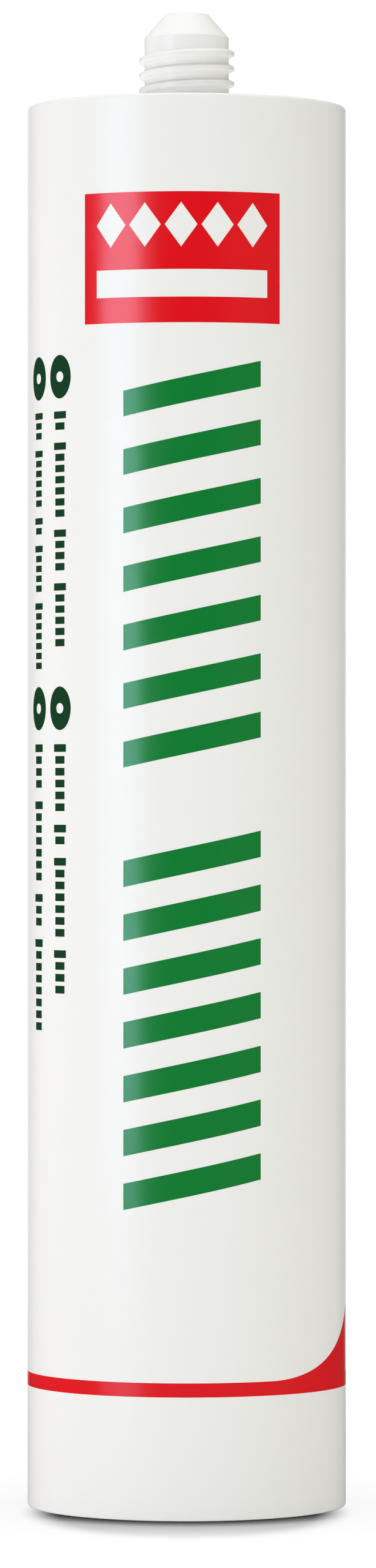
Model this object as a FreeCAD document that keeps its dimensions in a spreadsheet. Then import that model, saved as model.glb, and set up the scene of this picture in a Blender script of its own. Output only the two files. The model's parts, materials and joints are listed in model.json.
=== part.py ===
"""Sealant cartridge: a white plastic barrel with a flat head and a closed threaded nipple, and inside it
the sealant and the piston that pushes it out. Millimetres, +Z along the barrel, open rear rim on Z = 0."""
import FreeCAD, Part
import math
import os
import Sketcher

doc = FreeCAD.newDocument("CaulkTube")

# Driving sizes
sheet = doc.addObject("Spreadsheet::Sheet", "Sizes")
driving_sizes = [
    ("barrel_diameter", 49.5, "outside of the barrel"),
    ("barrel_wall", 1.5, "wall of the barrel"),
    ("barrel_length", 217.0, "rear rim to the outside of the head"),
    ("head_wall", 2.0, "thickness of the head"),
    ("head_edge_radius", 0.5, "outer edge of the head"),
    ("head_corner_chamfer", 1.0, "inner corner between barrel and head"),
    ("rim_edge_radius", 0.4, "outer edge of the rear rim"),
    ("rim_lead_in", 0.5, "inner chamfer that guides the piston in"),
    ("nipple_length", 14.6, "head to the tip of the nipple"),
    ("collar_diameter", 16.4, "root of the nipple, at the head"),
    ("collar_height", 1.2, "height of the root collar"),
    ("collar_draft", 0.4, "how much the collar narrows upwards, on the radius"),
    ("core_diameter", 13.1, "nipple under its thread"),
    ("core_height", 10.9, "head to the foot of the tip cone"),
    ("tip_diameter", 6.7, "flat top of the tip cone"),
    ("tip_edge_radius", 0.5, "edge of the flat top"),
    ("nipple_wall", 1.6, "wall of the nipple and its tip"),
    ("thread_diameter", 14.8, "outside of the thread"),
    ("thread_pitch", 2.35, "rise of the thread in one turn"),
    ("thread_turns", 3.35, "turns of the thread"),
    ("thread_start", 1.45, "head to the middle of the first crest"),
    ("thread_crest_width", 0.5, "flat crest of the thread"),
    ("thread_root_width", 1.6, "width of the thread where it meets the core"),
    ("thread_fade_start", 8.9, "head to where the crest starts to fade out"),
    ("thread_fade_length", 1.2, "height over which the crest fades into the core"),
    ("piston_recess", 15.0, "rear rim of the barrel to the rear of the piston"),
    ("piston_length", 18.0, "rear of the skirt to the crown"),
    ("piston_play", 0.05, "gap between lip and bore, on the radius"),
    ("lip_height", 1.8, "height of each sealing lip"),
    ("lip_depth", 0.5, "how far a lip stands out of the skirt"),
    ("lip_slope", 0.6, "height of the slope beside each lip"),
    ("rear_lip_start", 0.6, "rear of the piston to its rear lip"),
    ("crown_wall", 1.6, "thickness of the crown"),
    ("crown_clearance", 0.3, "gap between crown and head, and between their corners, at the end of travel"),
    ("skirt_wall", 1.2, "wall of the skirt"),
    ("hub_diameter", 11.0, "hub behind the crown"),
    ("hub_wall", 1.2, "wall of the hub"),
    ("hub_depth", 9.6, "hub's reach behind the crown"),
    ("rib_count", 8, "ribs behind the crown"),
    ("rib_thickness", 1.0, "thickness of a rib"),
    ("rib_depth_inside", 7.6, "reach of a rib behind the crown, at the hub"),
    ("rib_depth_outside", 4.6, "reach of a rib behind the crown, at the skirt"),
    ("sealant_gap", 0.05, "gap around the sealant, so that solids stay apart"),
]
for row, (alias, value, meaning) in enumerate(driving_sizes, start=1):
    sheet.set(f"A{row}", meaning)
    sheet.set(f"B{row}", str(value))
    sheet.setAlias(f"B{row}", alias)
doc.recompute()

# Sizes worked out from the driving ones, as expressions
BARREL_RADIUS = "(Sizes.barrel_diameter / 2)"
BORE_RADIUS = f"({BARREL_RADIUS} - Sizes.barrel_wall)"
HEAD_TOP = "Sizes.barrel_length"
HEAD_UNDERSIDE = f"({HEAD_TOP} - Sizes.head_wall)"
COLLAR_RADIUS = "(Sizes.collar_diameter / 2)"
COLLAR_TOP_RADIUS = f"({COLLAR_RADIUS} - Sizes.collar_draft)"
COLLAR_TOP = f"({HEAD_TOP} + Sizes.collar_height)"
CORE_RADIUS = "(Sizes.core_diameter / 2)"
CORE_TOP = f"({HEAD_TOP} + Sizes.core_height)"
TIP_RADIUS = "(Sizes.tip_diameter / 2)"
TIP_TOP = f"({HEAD_TOP} + Sizes.nipple_length)"
THREAD_RADIUS = "(Sizes.thread_diameter / 2)"
THREAD_DEPTH = f"({THREAD_RADIUS} - {CORE_RADIUS})"
FADE_START = f"({HEAD_TOP} + Sizes.thread_fade_start)"
FADE_END = f"({FADE_START} + Sizes.thread_fade_length)"
NIPPLE_BORE_RADIUS = f"({CORE_RADIUS} - Sizes.nipple_wall)"
TIP_BORE_RADIUS = f"({TIP_RADIUS} - Sizes.nipple_wall)"
TIP_UNDERSIDE = f"({TIP_TOP} - Sizes.nipple_wall)"
LIP_RADIUS = f"({BORE_RADIUS} - Sizes.piston_play)"
SKIRT_RADIUS = f"({LIP_RADIUS} - Sizes.lip_depth)"
SKIRT_BORE_RADIUS = f"({SKIRT_RADIUS} - Sizes.skirt_wall)"
CROWN_UNDERSIDE = "(Sizes.piston_length - Sizes.crown_wall)"
HUB_RADIUS = "(Sizes.hub_diameter / 2)"
HUB_BORE_RADIUS = f"({HUB_RADIUS} - Sizes.hub_wall)"
HUB_REAR = f"({CROWN_UNDERSIDE} - Sizes.hub_depth)"
CROWN_CHAMFER = "(Sizes.head_corner_chamfer + Sizes.crown_clearance)"
CROWN_AT_REST = "(Sizes.piston_recess + Sizes.piston_length)"
PISTON_TRAVEL = f"({HEAD_UNDERSIDE} - {CROWN_AT_REST} - Sizes.crown_clearance)"


def size(expression):
    """The number that an expression gives for the sheet's present values."""
    result = sheet.evalExpression(expression)
    return float(getattr(result, "Value", result))


def new_body(name):
    body = doc.addObject("PartDesign::Body", name)
    body.Label = name
    return body


def new_sketch(body, name, role="XZ_Plane"):
    """An empty sketch on one of the body's own origin planes."""
    plane = next(feature for feature in body.Origin.OriginFeatures if feature.Role == role)
    sketch = body.newObject("Sketcher::SketchObject", name)
    sketch.AttachmentSupport = [(plane, "")]
    sketch.MapMode = "FlatFace"
    return sketch


def bind_distance(sketch, direction, point, expression):
    """Hold one coordinate of a point at the value of an expression; 0 holds it on the axis itself."""
    other_axis = {"DistanceX": -2, "DistanceY": -1}[direction]
    if expression == "0":
        sketch.addConstraint(Sketcher.Constraint("PointOnObject", *point, other_axis))
        return
    index = sketch.addConstraint(Sketcher.Constraint(direction, -1, 1, *point, size(expression)))
    sketch.setExpression(f"Constraints[{index}]", expression)


def draw_outline(sketch, corners):
    """A closed outline of straight lines through corners, each a pair of expressions."""
    points = [FreeCAD.Vector(size(across), size(up), 0) for across, up in corners]
    lines = []
    for start, end in zip(points, points[1:] + points[:1]):
        lines.append(sketch.addGeometry(Part.LineSegment(start, end)))
    for line, following in zip(lines, lines[1:] + lines[:1]):
        sketch.addConstraint(Sketcher.Constraint("Coincident", line, 2, following, 1))
    for line, (across, up) in zip(lines, corners):
        bind_distance(sketch, "DistanceX", (line, 1), across)
        bind_distance(sketch, "DistanceY", (line, 1), up)


def revolve(body, kind, name, corners):
    """Turn an outline about the body's Z axis: kind is Revolution to add it or Groove to cut it."""
    sketch = new_sketch(body, f"{name}_outline")
    draw_outline(sketch, corners)
    feature = body.newObject(f"PartDesign::{kind}", name)
    feature.Profile = sketch
    feature.ReferenceAxis = (sketch, ["V_Axis"])
    feature.Angle = 360
    doc.recompute()
    return feature


def round_ring_edge(body, name, radius, height, edge_radius):
    """Round the circular edge of the given radius and height on the body's last feature."""
    base = body.Tip
    found = []
    for number, edge in enumerate(base.Shape.Edges, start=1):
        if not isinstance(edge.Curve, Part.Circle):
            continue
        same_radius = math.isclose(edge.Curve.Radius, size(radius), abs_tol=1e-4)
        same_height = math.isclose(edge.Curve.Center.z, size(height), abs_tol=1e-4)
        if same_radius and same_height:
            found.append(f"Edge{number}")
    fillet = body.newObject("PartDesign::Fillet", name)
    fillet.Base = (base, found)
    fillet.setExpression("Radius", edge_radius)
    doc.recompute()
    return fillet


# Cartridge: barrel, head and nipple moulded as one piece
cartridge = new_body("cartridge")
revolve(cartridge, "Revolution", "shell", [
    (f"{BORE_RADIUS} + Sizes.rim_lead_in", "0"),
    (BARREL_RADIUS, "0"),
    (BARREL_RADIUS, HEAD_TOP),
    (COLLAR_RADIUS, HEAD_TOP),
    (COLLAR_TOP_RADIUS, COLLAR_TOP),
    (CORE_RADIUS, COLLAR_TOP),
    (CORE_RADIUS, CORE_TOP),
    (TIP_RADIUS, TIP_TOP),
    ("0", TIP_TOP),
    ("0", TIP_UNDERSIDE),
    (TIP_BORE_RADIUS, TIP_UNDERSIDE),
    (NIPPLE_BORE_RADIUS, f"{CORE_TOP} - Sizes.nipple_wall / 2"),
    (NIPPLE_BORE_RADIUS, HEAD_UNDERSIDE),
    (f"{BORE_RADIUS} - Sizes.head_corner_chamfer", HEAD_UNDERSIDE),
    (BORE_RADIUS, f"{HEAD_UNDERSIDE} - Sizes.head_corner_chamfer"),
    (BORE_RADIUS, "Sizes.rim_lead_in"),
])
round_ring_edge(cartridge, "head_edge", BARREL_RADIUS, HEAD_TOP, "Sizes.head_edge_radius")
round_ring_edge(cartridge, "rim_edge", BARREL_RADIUS, "0", "Sizes.rim_edge_radius")
round_ring_edge(cartridge, "tip_edge", TIP_RADIUS, TIP_TOP, "Sizes.tip_edge_radius")

# The thread's section starts inside the core, so that it merges with it all the way round
SINK = "(Sizes.nipple_wall / 4)"
FIRST_CREST = f"({HEAD_TOP} + Sizes.thread_start)"
FLANK_SLOPE = f"((Sizes.thread_root_width - Sizes.thread_crest_width) / 2 / {THREAD_DEPTH})"
ROOT_HALF = f"(Sizes.thread_root_width / 2 + {SINK} * {FLANK_SLOPE})"
thread_section = new_sketch(cartridge, "thread_section")
draw_outline(thread_section, [
    (f"{CORE_RADIUS} - {SINK}", f"{FIRST_CREST} - {ROOT_HALF}"),
    (THREAD_RADIUS, f"{FIRST_CREST} - Sizes.thread_crest_width / 2"),
    (THREAD_RADIUS, f"{FIRST_CREST} + Sizes.thread_crest_width / 2"),
    (f"{CORE_RADIUS} - {SINK}", f"{FIRST_CREST} + {ROOT_HALF}"),
])
thread = cartridge.newObject("PartDesign::AdditiveHelix", "thread")
thread.Profile = thread_section
thread.ReferenceAxis = (thread_section, ["V_Axis"])
thread.Mode = "pitch-turns-angle"
thread.LeftHanded = False
thread.setExpression("Pitch", "Sizes.thread_pitch")
thread.setExpression("Turns", "Sizes.thread_turns")
doc.recompute()

# The last part of the thread is turned down to a cone, so that its crest fades into the core
revolve(cartridge, "Groove", "thread_fade", [
    (f"{THREAD_RADIUS} + {THREAD_DEPTH}", f"{FADE_START} - Sizes.thread_fade_length"),
    (f"{THREAD_RADIUS} + {THREAD_DEPTH}", CORE_TOP),
    (CORE_RADIUS, CORE_TOP),
    (CORE_RADIUS, FADE_END),
])

# Piston: crown, skirt with two sealing lips, hub and radial ribs
piston = new_body("piston")
REAR_LIP_END = "(Sizes.rear_lip_start + Sizes.lip_height)"
FRONT_LIP_END = f"(Sizes.piston_length - {CROWN_CHAMFER})"
FRONT_LIP_START = f"({FRONT_LIP_END} - Sizes.lip_height)"
revolve(piston, "Revolution", "cup", [
    ("0", "Sizes.piston_length"),
    (f"{LIP_RADIUS} - {CROWN_CHAMFER}", "Sizes.piston_length"),
    (LIP_RADIUS, FRONT_LIP_END),
    (LIP_RADIUS, FRONT_LIP_START),
    (SKIRT_RADIUS, f"{FRONT_LIP_START} - Sizes.lip_slope"),
    (SKIRT_RADIUS, f"{REAR_LIP_END} + Sizes.lip_slope"),
    (LIP_RADIUS, REAR_LIP_END),
    (LIP_RADIUS, "Sizes.rear_lip_start"),
    (SKIRT_RADIUS, "0"),
    (SKIRT_BORE_RADIUS, "0"),
    (SKIRT_BORE_RADIUS, CROWN_UNDERSIDE),
    (HUB_RADIUS, CROWN_UNDERSIDE),
    (HUB_RADIUS, HUB_REAR),
    (HUB_BORE_RADIUS, HUB_REAR),
    (HUB_BORE_RADIUS, CROWN_UNDERSIDE),
    ("0", CROWN_UNDERSIDE),
])

RIB_INNER = f"({HUB_RADIUS} - Sizes.hub_wall / 2)"
RIB_OUTER = f"({SKIRT_BORE_RADIUS} + Sizes.skirt_wall / 2)"
RIB_FRONT = f"({CROWN_UNDERSIDE} + Sizes.crown_wall / 2)"
rib_outline = new_sketch(piston, "rib_outline")
draw_outline(rib_outline, [
    (RIB_INNER, RIB_FRONT),
    (RIB_INNER, f"{CROWN_UNDERSIDE} - Sizes.rib_depth_inside"),
    (RIB_OUTER, f"{CROWN_UNDERSIDE} - Sizes.rib_depth_outside"),
    (RIB_OUTER, RIB_FRONT),
])
rib = piston.newObject("PartDesign::Pad", "rib")
rib.Profile = rib_outline
rib.setExpression("Length", "Sizes.rib_thickness")
rib.Midplane = True
doc.recompute()
ribs = piston.newObject("PartDesign::PolarPattern", "ribs")
ribs.Originals = [rib]
ribs.Axis = (rib_outline, ["V_Axis"])
ribs.Angle = 360
ribs.setExpression("Occurrences", "Sizes.rib_count")
piston.Tip = ribs
piston.setExpression(".Placement.Base.z", "Sizes.piston_recess")
doc.recompute()

# Sealant: fills the barrel from the piston's crown to the head, and the nipple
sealant = new_body("sealant")
SEALANT_RADIUS = f"({BORE_RADIUS} - Sizes.sealant_gap)"
SEALANT_REAR = f"({CROWN_AT_REST} + Sizes.sealant_gap)"
PLUG_RADIUS = f"({NIPPLE_BORE_RADIUS} - Sizes.sealant_gap)"
revolve(sealant, "Revolution", "contents", [
    ("0", SEALANT_REAR),
    (SEALANT_RADIUS, SEALANT_REAR),
    (SEALANT_RADIUS, f"{HEAD_UNDERSIDE} - Sizes.head_corner_chamfer"),
    (f"{SEALANT_RADIUS} - Sizes.head_corner_chamfer", HEAD_UNDERSIDE),
    (PLUG_RADIUS, HEAD_UNDERSIDE),
    (PLUG_RADIUS, f"{CORE_TOP} - Sizes.nipple_wall"),
    (f"{TIP_BORE_RADIUS} - Sizes.sealant_gap", f"{TIP_UNDERSIDE} - Sizes.nipple_wall / 4"),
    ("0", f"{TIP_UNDERSIDE} - Sizes.nipple_wall / 4"),
])
doc.recompute()

# Check everything, then write one file for each piece
for item in doc.Objects:
    if "Invalid" in item.State or "Error" in item.State:
        raise RuntimeError(f"{item.Label} has failed: {item.State}")
os.makedirs("parts", exist_ok=True)
for body in (cartridge, piston, sealant):
    if body.Shape.isNull() or not body.Shape.isValid() or len(body.Shape.Solids) != 1:
        raise RuntimeError(f"{body.Label} isn't one valid solid")
for body in (cartridge, piston, sealant):
    body.Shape.exportStep(f"parts/{body.Label}.step")
    print(body.Label, round(body.Shape.Volume / 1000, 2), "cm3")
print("piston travel", round(size(PISTON_TRAVEL), 3), "mm")
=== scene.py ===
"""Looks of a sealant cartridge: white moulded barrel with printed fields, threaded nipple, piston and sealant.
Metres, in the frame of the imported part: +Z along the barrel, printed front towards -Y."""
import json
import math

import bmesh
import bpy
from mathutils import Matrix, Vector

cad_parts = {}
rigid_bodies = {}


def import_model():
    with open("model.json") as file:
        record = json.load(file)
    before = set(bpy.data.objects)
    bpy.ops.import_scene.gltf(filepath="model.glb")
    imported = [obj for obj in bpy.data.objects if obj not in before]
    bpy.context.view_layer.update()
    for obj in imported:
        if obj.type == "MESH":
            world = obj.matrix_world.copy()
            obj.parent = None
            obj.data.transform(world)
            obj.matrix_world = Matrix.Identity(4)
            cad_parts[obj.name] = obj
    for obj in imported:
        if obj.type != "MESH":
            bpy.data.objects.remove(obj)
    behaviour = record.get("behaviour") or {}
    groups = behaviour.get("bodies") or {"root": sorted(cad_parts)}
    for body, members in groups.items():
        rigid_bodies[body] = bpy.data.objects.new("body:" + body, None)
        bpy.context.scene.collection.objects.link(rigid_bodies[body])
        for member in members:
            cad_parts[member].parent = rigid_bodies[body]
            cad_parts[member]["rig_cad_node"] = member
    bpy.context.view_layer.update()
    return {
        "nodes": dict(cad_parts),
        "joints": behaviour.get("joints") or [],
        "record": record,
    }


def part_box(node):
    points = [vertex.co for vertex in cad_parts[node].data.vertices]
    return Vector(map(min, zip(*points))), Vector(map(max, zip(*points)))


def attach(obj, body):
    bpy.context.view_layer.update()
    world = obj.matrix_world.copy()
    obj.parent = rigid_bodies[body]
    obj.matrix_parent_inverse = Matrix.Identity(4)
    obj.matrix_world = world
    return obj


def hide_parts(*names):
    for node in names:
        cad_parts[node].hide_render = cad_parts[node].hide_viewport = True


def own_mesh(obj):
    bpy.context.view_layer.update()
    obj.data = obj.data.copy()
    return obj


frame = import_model()

MM = 0.001

# Fineness of the turned meshes: columns round the axis, and the height of a row along the thread
SEGMENTS = 192
THREAD_ROW = 0.09 * MM


def mount(name):
    """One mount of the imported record."""
    return next(m for m in frame["record"]["mounts"] if m["name"] == name)


def joint(name):
    """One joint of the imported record."""
    return next(j for j in frame["joints"] if j["name"] == name)


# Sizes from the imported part
BARREL_RADIUS = mount("barrel")["dims"]["r_mm"] * MM
HEAD_TOP = mount("head_face")["pos_m"][2]
TIP_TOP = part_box("cartridge")[1].z
LIP_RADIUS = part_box("piston")[1].x
SEALANT_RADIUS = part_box("sealant")[1].x
SEALANT_REAR, SEALANT_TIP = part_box("sealant")[0].z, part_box("sealant")[1].z
SEALANT_HEAD = joint("piston_slide")["deforming_nodes"][0]["fixed_end_z_m"]

# Sizes of the moulding that only its source has
CLEARANCE = 0.05 * MM
BORE_RADIUS = LIP_RADIUS + CLEARANCE
HEAD_UNDERSIDE = HEAD_TOP - 2.0 * MM
HEAD_CORNER = 1.0 * MM
RIM_LEAD_IN = 0.5 * MM
COLLAR_RADIUS = 8.2 * MM
COLLAR_TOP_RADIUS = 7.8 * MM
COLLAR_TOP = HEAD_TOP + 1.2 * MM
CORE_RADIUS = 6.55 * MM
CORE_TOP = HEAD_TOP + 10.9 * MM
TIP_RADIUS = 3.35 * MM
NIPPLE_WALL = 1.6 * MM
THREAD_RADIUS = 7.4 * MM
THREAD_PITCH = 2.35 * MM
THREAD_TURNS = 3.35
FIRST_CREST = HEAD_TOP + 1.45 * MM
CREST_WIDTH = 0.5 * MM
ROOT_WIDTH = 1.6 * MM
FADE_START = HEAD_TOP + 8.9 * MM
FADE_LENGTH = 1.2 * MM
RUN_OUT_TURNS = 0.2

# The ink stands this proud of the moulding, and its outside is the barrel's full radius
INK = 0.02 * MM
MOULDING_RADIUS = BARREL_RADIUS - INK


# Meshes

def add_object(name, shape, sharp_degrees=40):
    """A smooth-shaded object of a closed bmesh, with its sharp edges kept sharp."""
    bmesh.ops.recalc_face_normals(shape, faces=shape.faces)
    mesh = bpy.data.meshes.new(name)
    shape.to_mesh(mesh)
    shape.free()
    for polygon in mesh.polygons:
        polygon.use_smooth = True
    mesh.set_sharp_from_angle(angle=math.radians(sharp_degrees))
    piece = bpy.data.objects.new(name, mesh)
    bpy.context.scene.collection.objects.link(piece)
    return piece


def rounded(corners, steps=6, holding=0.25 * MM):
    """A profile of (radius, height) points from corners (radius, height, edge radius).
    Each rounded corner becomes an arc, with a point a little way off on each side that keeps the flats flat."""
    profile = []
    for index, (across, up, edge) in enumerate(corners):
        if edge == 0 or index in (0, len(corners) - 1):
            profile.append((across, up))
            continue
        before, after = corners[index - 1], corners[index + 1]
        back = (before[0] - across, before[1] - up)
        ahead = (after[0] - across, after[1] - up)
        back_length, ahead_length = math.hypot(*back), math.hypot(*ahead)
        back = (back[0] / back_length, back[1] / back_length)
        ahead = (ahead[0] / ahead_length, ahead[1] / ahead_length)
        between = math.acos(max(-1.0, min(1.0, back[0] * ahead[0] + back[1] * ahead[1])))
        reach = edge / math.tan(between / 2)
        middle = (back[0] + ahead[0], back[1] + ahead[1])
        scale = edge / math.sin(between / 2) / math.hypot(*middle)
        centre = (across + middle[0] * scale, up + middle[1] * scale)
        start = (across + back[0] * reach, up + back[1] * reach)
        end = (across + ahead[0] * reach, up + ahead[1] * reach)
        first = math.atan2(start[1] - centre[1], start[0] - centre[0])
        turn = math.atan2(end[1] - centre[1], end[0] - centre[0]) - first
        turn = (turn + math.pi) % (2 * math.pi) - math.pi
        far = reach + holding
        if back_length > 4 * far:
            profile.append((across + back[0] * far, up + back[1] * far))
        for step in range(steps + 1):
            angle = first + turn * step / steps
            profile.append((centre[0] + edge * math.cos(angle), centre[1] + edge * math.sin(angle)))
        if ahead_length > 4 * far:
            profile.append((across + ahead[0] * far, up + ahead[1] * far))
    return profile


def turned(name, profile, offset=None):
    """A solid turned about Z from a section that closes on itself, or starts and ends on the axis.
    offset(angle, radius, height) is how far a point stands out from the section."""
    shape = bmesh.new()
    rings = []
    for across, up in profile:
        ring = []
        for segment in range(SEGMENTS if across > 0 else 1):
            angle = 2 * math.pi * segment / SEGMENTS
            radius = across + (offset(angle, across, up) if offset else 0)
            ring.append(shape.verts.new((radius * math.cos(angle), radius * math.sin(angle), up)))
        rings.append(ring)
    for lower, upper in zip(rings, rings[1:] + rings[:1]):
        if len(lower) == 1 and len(upper) == 1:
            continue
        for segment in range(SEGMENTS):
            following = (segment + 1) % SEGMENTS
            if len(lower) == 1:
                shape.faces.new((lower[0], upper[following], upper[segment]))
            elif len(upper) == 1:
                shape.faces.new((lower[segment], lower[following], upper[0]))
            else:
                shape.faces.new((lower[segment], lower[following], upper[following], upper[segment]))
    return add_object(name, shape)


# Cartridge

def smooth_step(value):
    value = max(0.0, min(1.0, value))
    return value * value * (3 - 2 * value)


def thread_height(angle, radius, up):
    """How far the thread stands out of the nipple's core at a point on the core."""
    if abs(radius - CORE_RADIUS) > 1e-6 or not COLLAR_TOP <= up <= CORE_TOP:
        return 0.0
    depth = THREAD_RADIUS - CORE_RADIUS
    turn = angle / (2 * math.pi)
    height = 0.0
    for lap in range(math.ceil(THREAD_TURNS) + 1):
        if lap + turn > THREAD_TURNS:
            break
        crest = FIRST_CREST + THREAD_PITCH * (lap + turn)
        slope = (abs(up - crest) - CREST_WIDTH / 2) / ((ROOT_WIDTH - CREST_WIDTH) / 2)
        run_out = smooth_step((THREAD_TURNS - lap - turn) / RUN_OUT_TURNS)
        height = max(height, depth * smooth_step(1 - slope) * run_out)
    fade = THREAD_RADIUS - depth * max(0.0, up - FADE_START) / FADE_LENGTH - CORE_RADIUS
    return max(0.0, min(height, fade))


def cartridge_profile():
    """Rear rim, outside, head, nipple, and back down the inside, as one closed section."""
    nipple_bore = CORE_RADIUS - NIPPLE_WALL
    outside = rounded([
        (BORE_RADIUS + RIM_LEAD_IN, 0, 0),
        (MOULDING_RADIUS, 0, 0.4 * MM),
        (MOULDING_RADIUS, HEAD_TOP, 0.5 * MM),
        (COLLAR_RADIUS, HEAD_TOP, 0.3 * MM),
        (COLLAR_TOP_RADIUS, COLLAR_TOP, 0.2 * MM),
        (CORE_RADIUS, COLLAR_TOP, 0),
    ])
    rows = round((CORE_TOP - COLLAR_TOP) / THREAD_ROW)
    core = [(CORE_RADIUS, COLLAR_TOP + (CORE_TOP - COLLAR_TOP) * row / rows) for row in range(1, rows)]
    tip = rounded([
        (CORE_RADIUS, CORE_TOP - THREAD_ROW, 0),
        (CORE_RADIUS, CORE_TOP, 0.04 * MM),
        (TIP_RADIUS, TIP_TOP, 0.5 * MM),
        (0, TIP_TOP, 0),
    ])
    inside = rounded([
        (0, TIP_TOP - NIPPLE_WALL, 0),
        (TIP_RADIUS - NIPPLE_WALL, TIP_TOP - NIPPLE_WALL, 0.3 * MM),
        (nipple_bore, CORE_TOP - NIPPLE_WALL / 2, 0.5 * MM),
        (nipple_bore, HEAD_UNDERSIDE, 0.3 * MM),
        (BORE_RADIUS - HEAD_CORNER, HEAD_UNDERSIDE, 0.2 * MM),
        (BORE_RADIUS, HEAD_UNDERSIDE - HEAD_CORNER, 0.2 * MM),
        (BORE_RADIUS, RIM_LEAD_IN, 0.1 * MM),
        (BORE_RADIUS + RIM_LEAD_IN, 0, 0),
    ])
    return outside + core + tip[1:] + inside[:-1]


# Print: fields of ink, in millimetres as (arc from the front line, positive to the right; height)

def on_barrel(arc, up, lift):
    """A point at an arc from the front line, at a height, and lifted off the moulding."""
    angle = arc / BARREL_RADIUS
    radius = MOULDING_RADIUS + lift
    return (radius * math.sin(angle), -radius * math.cos(angle), up)


def printed(name, shapes):
    """One ink of the print: a thin closed skin on the barrel for each (outline, openings) of shapes."""
    skin = bmesh.new()
    for outline, openings in shapes:
        edges = []
        for loop in [outline, *openings]:
            corners = [skin.verts.new((arc * MM, up * MM, 0)) for arc, up in loop]
            edges += [skin.edges.new(pair) for pair in zip(corners, corners[1:] + corners[:1])]
        bmesh.ops.triangle_fill(skin, use_beauty=True, edges=edges)
    step = 2 * math.pi * BARREL_RADIUS / SEGMENTS
    reach = max(abs(vertex.co.x) for vertex in skin.verts)
    for cut in range(-int(reach / step), int(reach / step) + 1):
        whole = [*skin.verts, *skin.edges, *skin.faces]
        bmesh.ops.bisect_plane(skin, geom=whole, plane_co=(cut * step, 0, 0), plane_no=(1, 0, 0))
    outside = bmesh.ops.extrude_face_region(skin, geom=skin.faces[:], use_keep_orig=True)["geom"]
    raised = {element for element in outside if isinstance(element, bmesh.types.BMVert)}
    for vertex in skin.verts:
        vertex.co = on_barrel(vertex.co.x, vertex.co.y, INK if vertex in raised else -INK)
    return add_object(name, skin)


def printed_ring(name, columns):
    """A band of ink all round the barrel, from columns of (arc, low, high) in order."""
    ring = bmesh.new()
    walls = []
    for arc, low, high in columns:
        corners = ((low, -INK), (low, INK), (high, INK), (high, -INK))
        walls.append([ring.verts.new(on_barrel(arc * MM, up * MM, lift)) for up, lift in corners])
    for wall, following in zip(walls, walls[1:] + walls[:1]):
        for corner in range(4):
            after = (corner + 1) % 4
            ring.faces.new((wall[corner], wall[after], following[after], following[corner]))
    return add_object(name, ring)


def box_outline(left, right, low, high, slant=0.0):
    """A box whose right end stands higher than its left by the slant."""
    return [(left, low), (right, low + slant), (right, high), (left, high - slant)]


def oval_outline(centre, half_width, half_height, count=32):
    angles = [2 * math.pi * step / count for step in range(count)]
    return [(centre[0] + half_width * math.cos(a), centre[1] + half_height * math.sin(a)) for a in angles]


def bar_outline(left, right, low, high, count=10):
    """A bar with round ends."""
    radius, middle = (high - low) / 2, (low + high) / 2
    ends = []
    for centre, first in ((right - radius, -90), (left + radius, 90)):
        for step in range(count + 1):
            angle = math.radians(first + 180 * step / count)
            ends.append((centre + radius * math.cos(angle), middle + radius * math.sin(angle)))
    return ends


def diamond_outline(centre, half_width, half_height):
    across, up = centre
    left, right = (across - half_width, up), (across + half_width, up)
    return [left, (across, up - half_height), right, (across, up + half_height)]


PANEL_LEFT, PANEL_RIGHT, PANEL_LOW, PANEL_HIGH = -16.8, 15.1, 182.1, 202.0
DIAMOND_HEIGHT, DIAMOND_PITCH, DIAMOND_HALF_WIDTH, DIAMOND_HALF_HEIGHT = 197.0, 5.6, 2.5, 3.4
BAR_HALF_LENGTH, BAR_LOW, BAR_HIGH = 13.7, 186.0, 190.2


def panel_shapes():
    """The panel, with a row of diamonds and a bar left open to the white plastic."""
    middle = (PANEL_LEFT + PANEL_RIGHT) / 2
    openings = []
    for place in range(-2, 3):
        centre = (middle + DIAMOND_PITCH * place, DIAMOND_HEIGHT)
        openings.append(diamond_outline(centre, DIAMOND_HALF_WIDTH, DIAMOND_HALF_HEIGHT))
    openings.append(box_outline(middle - BAR_HALF_LENGTH, middle + BAR_HALF_LENGTH, BAR_LOW, BAR_HIGH))
    return [(box_outline(PANEL_LEFT, PANEL_RIGHT, PANEL_LOW, PANEL_HIGH), openings)]


STRIPE_LEFT, STRIPE_RIGHT, STRIPE_SLANT = -9.9, 11.7, 4.6
STRIPES_EACH = 7
# Each group's lowest and highest point, and the thickness of its stripes
STRIPE_GROUPS = ((114.5, 176.4, 3.9), (47.2, 104.9, 4.0))


def stripe_shapes():
    """Groups of slanting stripes down the front."""
    shapes = []
    for low, high, thickness in STRIPE_GROUPS:
        pitch = (high - low - thickness - STRIPE_SLANT) / (STRIPES_EACH - 1)
        for place in range(STRIPES_EACH):
            bottom = low + pitch * place
            top = bottom + thickness + STRIPE_SLANT
            shapes.append((box_outline(STRIPE_LEFT, STRIPE_RIGHT, bottom, top, STRIPE_SLANT), []))
    return shapes


# Each column's middle, the height of its oval, the top and bottom of its dashes, and how many stand together
MARK_COLUMNS = (
    (-29.0, 174.4, 169.1, 129.7, (3, 6, 2, 5, 7)),
    (-22.4, 174.4, 169.1, 133.1, (2, 7, 4, 6)),
    (-29.0, 123.6, 118.1, 74.1, (4, 7, 3, 8)),
    (-22.4, 123.6, 118.1, 79.9, (6, 2, 7, 4)),
)
OVAL_HALF_WIDTH, OVAL_HALF_HEIGHT = 2.6, 3.35
SLOT_HALF_WIDTH, SLOT_HALF_HEIGHT = 0.9, 0.8
FIRST_DASH_HALF_WIDTH, DASH_HALF_WIDTH = 1.5, 1.15
# As shares of the pitch: a dash's height, and the space after dashes that stand together
DASH_SHARE, SPACE_SHARE = 0.65, 0.8


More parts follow.
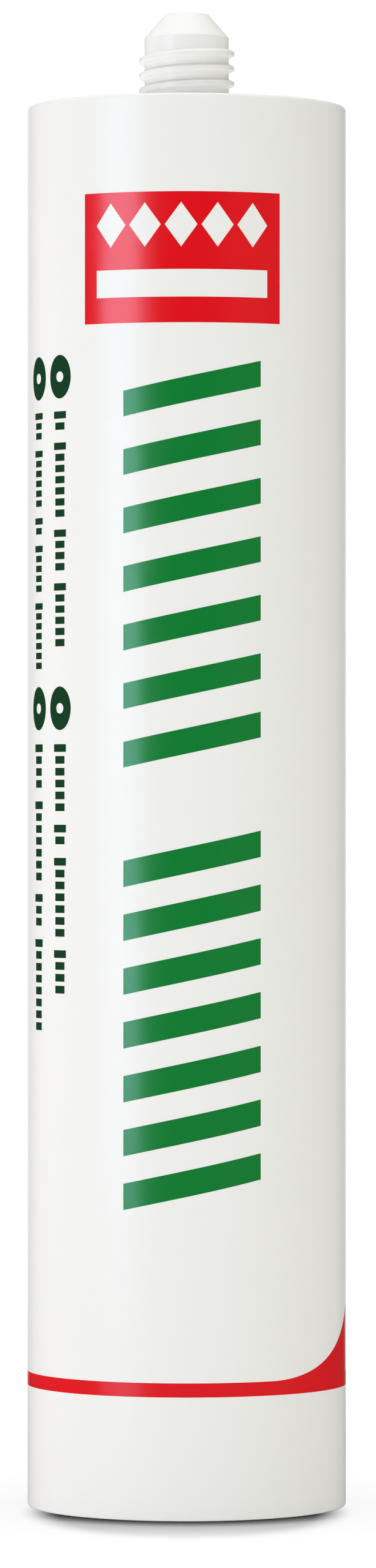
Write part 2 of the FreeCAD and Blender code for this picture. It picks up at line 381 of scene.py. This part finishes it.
def small_mark_shapes():
    """Columns of short dashes beside the stripes, each under an oval with an opening."""
    shapes = []
    for middle, oval_height, top, bottom, groups in MARK_COLUMNS:
        slot_sides = (middle - SLOT_HALF_WIDTH, middle + SLOT_HALF_WIDTH)
        slot = bar_outline(*slot_sides, oval_height - SLOT_HALF_HEIGHT, oval_height + SLOT_HALF_HEIGHT)
        shapes.append((oval_outline((middle, oval_height), OVAL_HALF_WIDTH, OVAL_HALF_HEIGHT), [slot]))
        pitches = sum(groups) + SPACE_SHARE * (len(groups) - 1) - (1 - DASH_SHARE)
        pitch = (top - bottom) / pitches
        up = top
        for length in groups:
            for place in range(length):
                half = DASH_HALF_WIDTH if place else FIRST_DASH_HALF_WIDTH
                shapes.append((box_outline(middle - half, middle + half, up - DASH_SHARE * pitch, up), []))
                up -= pitch
            up -= SPACE_SHARE * pitch
    return shapes


BAND_LOW, BAND_HIGH = 18.85, 21.0
SWEEP_START, SWEEP_END, SWEEP_RADIUS = 13.5, 36.0, 30.0


def band_columns():
    """The band's columns: it sweeps up on the right in an arc, and ends the sweep in an upright edge."""
    turn = 2 * math.pi * BARREL_RADIUS / MM
    arcs = [turn * (step / SEGMENTS - 0.5) for step in range(SEGMENTS)]
    plain = [(arc, BAND_LOW, BAND_HIGH) for arc in arcs if not SWEEP_START - 0.2 < arc < SWEEP_END + 0.2]
    sweep = []
    steps = 56
    for step in range(steps + 1):
        arc = SWEEP_START + (SWEEP_END - SWEEP_START) * step / steps
        rise = SWEEP_RADIUS - math.sqrt(SWEEP_RADIUS ** 2 - (arc - SWEEP_START) ** 2)
        sweep.append((arc, BAND_LOW, BAND_HIGH + rise))
    edge = [(SWEEP_END + 0.05, BAND_LOW, BAND_HIGH)]
    return sorted(plain + sweep + edge)


# Sealant

def sealant_profile():
    plug_radius = CORE_RADIUS - NIPPLE_WALL - CLEARANCE
    plug_top = CORE_TOP - NIPPLE_WALL / 2
    return rounded([
        (0, SEALANT_REAR, 0),
        (SEALANT_RADIUS, SEALANT_REAR, 0.3 * MM),
        (SEALANT_RADIUS, SEALANT_HEAD - HEAD_CORNER, 0.2 * MM),
        (SEALANT_RADIUS - HEAD_CORNER, SEALANT_HEAD, 0.2 * MM),
        (plug_radius, SEALANT_HEAD, 0),
        (plug_radius, plug_top - 0.4 * MM, 0.4 * MM),
        (TIP_RADIUS - NIPPLE_WALL - CLEARANCE, SEALANT_TIP, 0.3 * MM),
        (0, SEALANT_TIP, 0),
    ])


# Materials

def new_material(name, colour, roughness, spread, grain, relief, stretch=1.0, ior=1.5):
    """A glazed or satin finish. Its roughness varies by the spread, and its fine relief has that grain.
    A stretch above 1 draws the relief out along the barrel into flow lines."""
    material = bpy.data.materials.new(name)
    material.use_nodes = True
    nodes, links = material.node_tree.nodes, material.node_tree.links
    shader = nodes["Principled BSDF"]
    shader.inputs["Base Color"].default_value = (*colour, 1)
    shader.inputs["IOR"].default_value = ior
    where = nodes.new("ShaderNodeTexCoord")
    patches = nodes.new("ShaderNodeTexNoise")
    patches.inputs["Scale"].default_value = 120
    patches.inputs["Detail"].default_value = 1
    gloss = nodes.new("ShaderNodeMapRange")
    gloss.interpolation_type = "SMOOTHSTEP"
    gloss.inputs["From Min"].default_value = 0.2
    gloss.inputs["From Max"].default_value = 0.8
    gloss.inputs["To Min"].default_value = roughness - spread
    gloss.inputs["To Max"].default_value = roughness + spread
    links.new(where.outputs["Object"], patches.inputs["Vector"])
    links.new(patches.outputs["Fac"], gloss.inputs["Value"])
    links.new(gloss.outputs["Result"], shader.inputs["Roughness"])
    drawn = nodes.new("ShaderNodeMapping")
    drawn.inputs["Scale"].default_value = (1, 1, 1 / stretch)
    flow = nodes.new("ShaderNodeTexNoise")
    flow.inputs["Scale"].default_value = 1 / grain
    flow.inputs["Detail"].default_value = 3
    bump = nodes.new("ShaderNodeBump")
    bump.inputs["Strength"].default_value = 0.5
    bump.inputs["Distance"].default_value = relief
    links.new(where.outputs["Object"], drawn.inputs["Vector"])
    links.new(drawn.outputs["Vector"], flow.inputs["Vector"])
    links.new(flow.outputs["Fac"], bump.inputs["Height"])
    links.new(bump.outputs["Normal"], shader.inputs["Normal"])
    return material


WHITE = new_material(
    "white_polyethylene", (0.87, 0.87, 0.855), 0.30, 0.015, 0.9 * MM, 0.002 * MM, stretch=30, ior=1.35)
RED_INK = new_material("red_ink", (0.78, 0.0005, 0.006), 0.24, 0.025, 0.35 * MM, 0.002 * MM, ior=1.6)
GREEN_INK = new_material("green_ink", (0.0005, 0.21, 0.03), 0.24, 0.025, 0.35 * MM, 0.002 * MM, ior=1.6)
DARK_INK = new_material("dark_green_ink", (0.004, 0.05, 0.015), 0.33, 0.03, 0.35 * MM, 0.002 * MM, ior=1.35)
PISTON_PLASTIC = new_material("piston_polyethylene", (0.78, 0.79, 0.76), 0.42, 0.06, 0.5 * MM, 0.02 * MM)
PASTE = new_material("sealant_paste", (0.83, 0.81, 0.77), 0.38, 0.08, 2.5 * MM, 0.3 * MM)


# The pieces, what they ride on and what they are made of

def finish_piece(piece, material, body="tube", stands_for=None):
    piece.data.materials.clear()
    piece.data.materials.append(material)
    if stands_for:
        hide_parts(stands_for)
    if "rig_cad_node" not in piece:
        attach(piece, body)


moulding = turned("cartridge_moulding", cartridge_profile(), thread_height)
finish_piece(moulding, WHITE, stands_for="cartridge")

for name, shapes, material, slot in (
    ("print_red_panel", panel_shapes(), RED_INK, "red_ink"),
    ("print_green_stripes", stripe_shapes(), GREEN_INK, "green_ink"),
    ("print_small_marks", small_mark_shapes(), DARK_INK, "dark_green_ink"),
):
    finish_piece(printed(name, shapes), material)
finish_piece(printed_ring("print_red_band", band_columns()), RED_INK)

sealant = turned("sealant_fill", sealant_profile())
finish_piece(sealant, PASTE, stands_for="sealant")
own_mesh(sealant)

finish_piece(frame["nodes"]["piston"], PISTON_PLASTIC)


# Stage: pale floor, soft light and the camera

CAMERA_DISTANCE = 1.04
CAMERA_HEIGHT = 112.0 * MM
CAMERA_ACROSS = 0.2 * MM
IMAGE_HEIGHT = 2560
PIXELS_PER_MM = 10.5
SENSOR = 36.0


def make_camera():
    data = bpy.data.cameras.new("camera")
    data.sensor_fit = "VERTICAL"
    data.sensor_height = SENSOR
    data.lens = SENSOR * PIXELS_PER_MM * CAMERA_DISTANCE / MM / IMAGE_HEIGHT
    camera = bpy.data.objects.new("camera", data)
    camera.location = (CAMERA_ACROSS, -CAMERA_DISTANCE, CAMERA_HEIGHT)
    camera.rotation_euler = (math.radians(90), 0, 0)
    bpy.context.scene.collection.objects.link(camera)
    bpy.context.scene.camera = camera


def add_math(nodes, links, operation, first, second):
    """A math node on two values, each a number or another node's output."""
    node = nodes.new("ShaderNodeMath")
    node.operation = operation
    for socket, value in zip(node.inputs, (first, second)):
        if isinstance(value, (int, float)):
            socket.default_value = value
        else:
            links.new(value, socket)
    return node.outputs[0]


# How much of a direction lies along +Y, behind the tube, where the gloss starts to see white and where it
# sees it in full, and how far the rest of the room is dimmed
WHITE_STARTS, WHITE_FULL = 0.93, 0.975
ROOM_DIMMING = 0.95

# The room's own light, which is weaker on the camera's side
ROOM_COLOUR = (0.55, 0.53, 0.53)
ROOM_FRONT, ROOM_BACK = -0.7, 0.1
ROOM_FRONT_STRENGTH, ROOM_BACK_STRENGTH = 0.25, 1.0


def seen_rays(nodes, links):
    """1 for rays that see the white background itself, and 0 for those that only bring light."""
    rays = nodes.new("ShaderNodeLightPath").outputs
    direct = add_math(nodes, links, "MAXIMUM", rays["Is Camera Ray"], rays["Is Transmission Ray"])
    return add_math(nodes, links, "MAXIMUM", direct, rays["Is Glossy Ray"])


def ramp(nodes, links, value, low, high, at_low, at_high):
    """A level that changes evenly from one value to the other as the input goes from low to high."""
    node = nodes.new("ShaderNodeMapRange")
    for socket, number in zip(("From Min", "From Max", "To Min", "To Max"), (low, high, at_low, at_high)):
        node.inputs[socket].default_value = number
    links.new(value, node.inputs["Value"])
    return node.outputs["Result"]


def backdrop_level(nodes, links, coordinate):
    """White as the camera sees it. In the gloss only what lies straight behind the tube is white, by its
    direction in that coordinate, and the rest of the room is dim."""
    where = nodes.new("ShaderNodeTexCoord")
    direction = nodes.new("ShaderNodeVectorMath")
    direction.operation = "NORMALIZE"
    axes = nodes.new("ShaderNodeSeparateXYZ")
    links.new(where.outputs[coordinate], direction.inputs[0])
    links.new(direction.outputs["Vector"], axes.inputs[0])
    dimming = ramp(nodes, links, axes.outputs["Y"], WHITE_STARTS, WHITE_FULL, ROOM_DIMMING, 0.0)
    rays = nodes.new("ShaderNodeLightPath")
    dimmed = add_math(nodes, links, "MULTIPLY", dimming, rays.outputs["Is Glossy Ray"])
    return add_math(nodes, links, "SUBTRACT", 1, dimmed)


def make_world():
    """Soft light from behind and from the sides, before a white backdrop."""
    world = bpy.data.worlds.new("studio")
    bpy.context.scene.world = world
    world.use_nodes = True
    nodes, links = world.node_tree.nodes, world.node_tree.links
    light = nodes["Background"]
    light.inputs["Color"].default_value = (*ROOM_COLOUR, 1)
    where = nodes.new("ShaderNodeTexCoord")
    axes = nodes.new("ShaderNodeSeparateXYZ")
    links.new(where.outputs["Generated"], axes.inputs[0])
    strengths = (ROOM_FRONT_STRENGTH, ROOM_BACK_STRENGTH)
    level = ramp(nodes, links, axes.outputs["Y"], ROOM_FRONT, ROOM_BACK, *strengths)
    links.new(level, light.inputs["Strength"])
    white = nodes.new("ShaderNodeBackground")
    white.inputs["Color"].default_value = (1, 1, 1, 1)
    links.new(backdrop_level(nodes, links, "Generated"), white.inputs["Strength"])
    mix = nodes.new("ShaderNodeMixShader")
    links.new(seen_rays(nodes, links), mix.inputs[0])
    links.new(light.outputs[0], mix.inputs[1])
    links.new(white.outputs[0], mix.inputs[2])
    links.new(mix.outputs[0], nodes["World Output"].inputs["Surface"])
    # The white that the camera sees is never drawn on as a lamp
    world.cycles.sampling_method = "NONE"


def make_softbox(name, azimuth, distance, size, centre_height, radiance, colour, lights=True, mirrored=True):
    """A rectangular lamp at an azimuth from the camera's side (positive to the right), aimed at the tube.
    It can light the tube, show in its gloss, or do both."""
    data = bpy.data.lights.new(name, "AREA")
    data.shape = "RECTANGLE"
    data.size, data.size_y = size
    data.energy = radiance * math.pi * size[0] * size[1]
    data.color = colour
    lamp = bpy.data.objects.new(name, data)
    angle = math.radians(azimuth)
    lamp.location = (distance * math.sin(angle), -distance * math.cos(angle), centre_height)
    lamp.rotation_euler = (math.radians(90), 0, angle)
    lamp.visible_diffuse = lights
    lamp.visible_glossy = mirrored
    bpy.context.scene.collection.objects.link(lamp)


def make_ceiling(height, size, radiance):
    """A square lamp above the tube, facing down and not mirrored."""
    data = bpy.data.lights.new("ceiling_fill", "AREA")
    data.shape = "SQUARE"
    data.size = size
    data.energy = radiance * math.pi * size * size
    lamp = bpy.data.objects.new("ceiling_fill", data)
    lamp.location = (0, 0, height)
    lamp.visible_glossy = False
    bpy.context.scene.collection.objects.link(lamp)


def add_card(name, corners, colour):
    """A flat, matt piece of the stage in that colour."""
    mesh = bpy.data.meshes.new(name)
    mesh.from_pydata(corners, [], [(0, 1, 2, 3)])
    card = bpy.data.objects.new(name, mesh)
    bpy.context.scene.collection.objects.link(card)
    material = bpy.data.materials.new(name + "_card")
    material.use_nodes = True
    shader = material.node_tree.nodes["Principled BSDF"]
    shader.inputs["Base Color"].default_value = (*colour, 1)
    shader.inputs["Roughness"].default_value = 1.0
    shader.inputs["Specular IOR Level"].default_value = 0.0
    mesh.materials.append(material)
    return card


def make_flag(azimuth, distance, width, low, high):
    """A black card hung behind the tube on the right, out of the camera's sight. It darkens that side's edge,
    more so at the top."""
    half = width / 2
    corners = [(-half, 0, low), (half, 0, low), (half, 0, high), (-half, 0, high)]
    flag = add_card("flag", corners, (0.01, 0.01, 0.01))
    angle = math.radians(azimuth)
    flag.location = (distance * math.sin(angle), -distance * math.cos(angle), 0)
    flag.rotation_euler = (0, 0, angle)
    flag.visible_camera = False


# The tube's painted soft shadow lies in an oval pool before it, and the floor outside the pool is nearly white
SHADOW_MIDDLE = 12 * MM
SHADOW_HALF_WIDTH = 26 * MM
SHADOW_DEPTH = 40 * MM
SHADOW_FADES_FROM = 0.75
SHADOW_REACH, SHADOW_POWER = 32 * MM, 2.2
CONTACT_REACH, CONTACT_POWER = 8 * MM, 3.0
OUTSIDE_WHITENESS = 0.93


def make_floor():
    """A white floor with a painted shadow of the tube on it, towards the camera: ambient occlusion darkens its
    glow inside an oval pool.
    """
    half = 3.0
    corners = [(-half, -half, 0), (half, -half, 0), (half, half, 0), (-half, half, 0)]
    material = add_card("floor", corners, (0.95, 0.95, 0.95)).data.materials[0]
    nodes, links = material.node_tree.nodes, material.node_tree.links
    # Painted shadow: two ambient occlusion reaches darken the floor's glow near the tube
    reach = nodes.new("ShaderNodeAmbientOcclusion")
    reach.inputs["Distance"].default_value = SHADOW_REACH
    contact = nodes.new("ShaderNodeAmbientOcclusion")
    contact.inputs["Distance"].default_value = CONTACT_REACH
    core = add_math(nodes, links, "POWER", contact.outputs["AO"], CONTACT_POWER)
    wide = add_math(nodes, links, "POWER", reach.outputs["AO"], SHADOW_POWER)
    shade = add_math(nodes, links, "MULTIPLY", wide, core)
    where = nodes.new("ShaderNodeTexCoord")
    pool = nodes.new("ShaderNodeMapping")
    pool.inputs["Location"].default_value = (0, SHADOW_MIDDLE / SHADOW_DEPTH, 0)
    pool.inputs["Scale"].default_value = (1 / SHADOW_HALF_WIDTH, 1 / SHADOW_DEPTH, 0)
    away = nodes.new("ShaderNodeVectorMath")
    away.operation = "LENGTH"
    links.new(where.outputs["Object"], pool.inputs["Vector"])
    links.new(pool.outputs["Vector"], away.inputs[0])
    side = nodes.new("ShaderNodeMapRange")
    side.interpolation_type = "SMOOTHSTEP"
    side.inputs["From Min"].default_value = SHADOW_FADES_FROM
    side.inputs["From Max"].default_value = 1.0
    side.inputs["To Max"].default_value = OUTSIDE_WHITENESS
    links.new(away.outputs["Value"], side.inputs["Value"])
    # The painted shadow keeps its full depth inside the pool and fades to nearly white outside it
    painted_shadow_level = nodes.new("ShaderNodeMix")
    painted_shadow_level.inputs["B"].default_value = 1.0
    links.new(side.outputs["Result"], painted_shadow_level.inputs["Factor"])
    links.new(shade, painted_shadow_level.inputs["A"])
    glow = nodes.new("ShaderNodeEmission")
    level = backdrop_level(nodes, links, "Object")
    links.new(add_math(nodes, links, "MULTIPLY", painted_shadow_level.outputs["Result"], level), glow.inputs["Strength"])
    mix = nodes.new("ShaderNodeMixShader")
    links.new(seen_rays(nodes, links), mix.inputs[0])
    links.new(nodes["Principled BSDF"].outputs[0], mix.inputs[1])
    links.new(glow.outputs[0], mix.inputs[2])
    links.new(mix.outputs[0], nodes["Material Output"].inputs["Surface"])
    material.cycles.emission_sampling = "NONE"


make_camera()
make_world()
make_floor()
make_flag(azimuth=136, distance=0.40, width=0.34, low=0.2, high=0.8)
make_softbox("highlight", -48, 0.5, (0.26, 0.42), 0.215, 4.0, (0.5, 0.76, 1.0), lights=False)
make_ceiling(1.3, 0.8, 5.2)
make_softbox("left_rear_fill", -120, 0.9, (0.5, 0.3), 0.155, 3.4, (1.0, 0.97, 0.95), mirrored=False)
make_softbox("left_front_fill", -40, 0.9, (0.5, 0.3), 0.155, 6.3, (0.95, 0.97, 0.97), mirrored=False)
make_softbox("right_front_fill", 40, 0.9, (0.5, 0.3), 0.155, 2.1, (1.0, 1.0, 0.9), mirrored=False)
make_softbox("right_fill", 80, 1.3, (0.6, 0.8), 0.42, 1.55, (0.97, 1.0, 0.82), mirrored=False)

bpy.context.scene.view_settings.view_transform = "Standard"
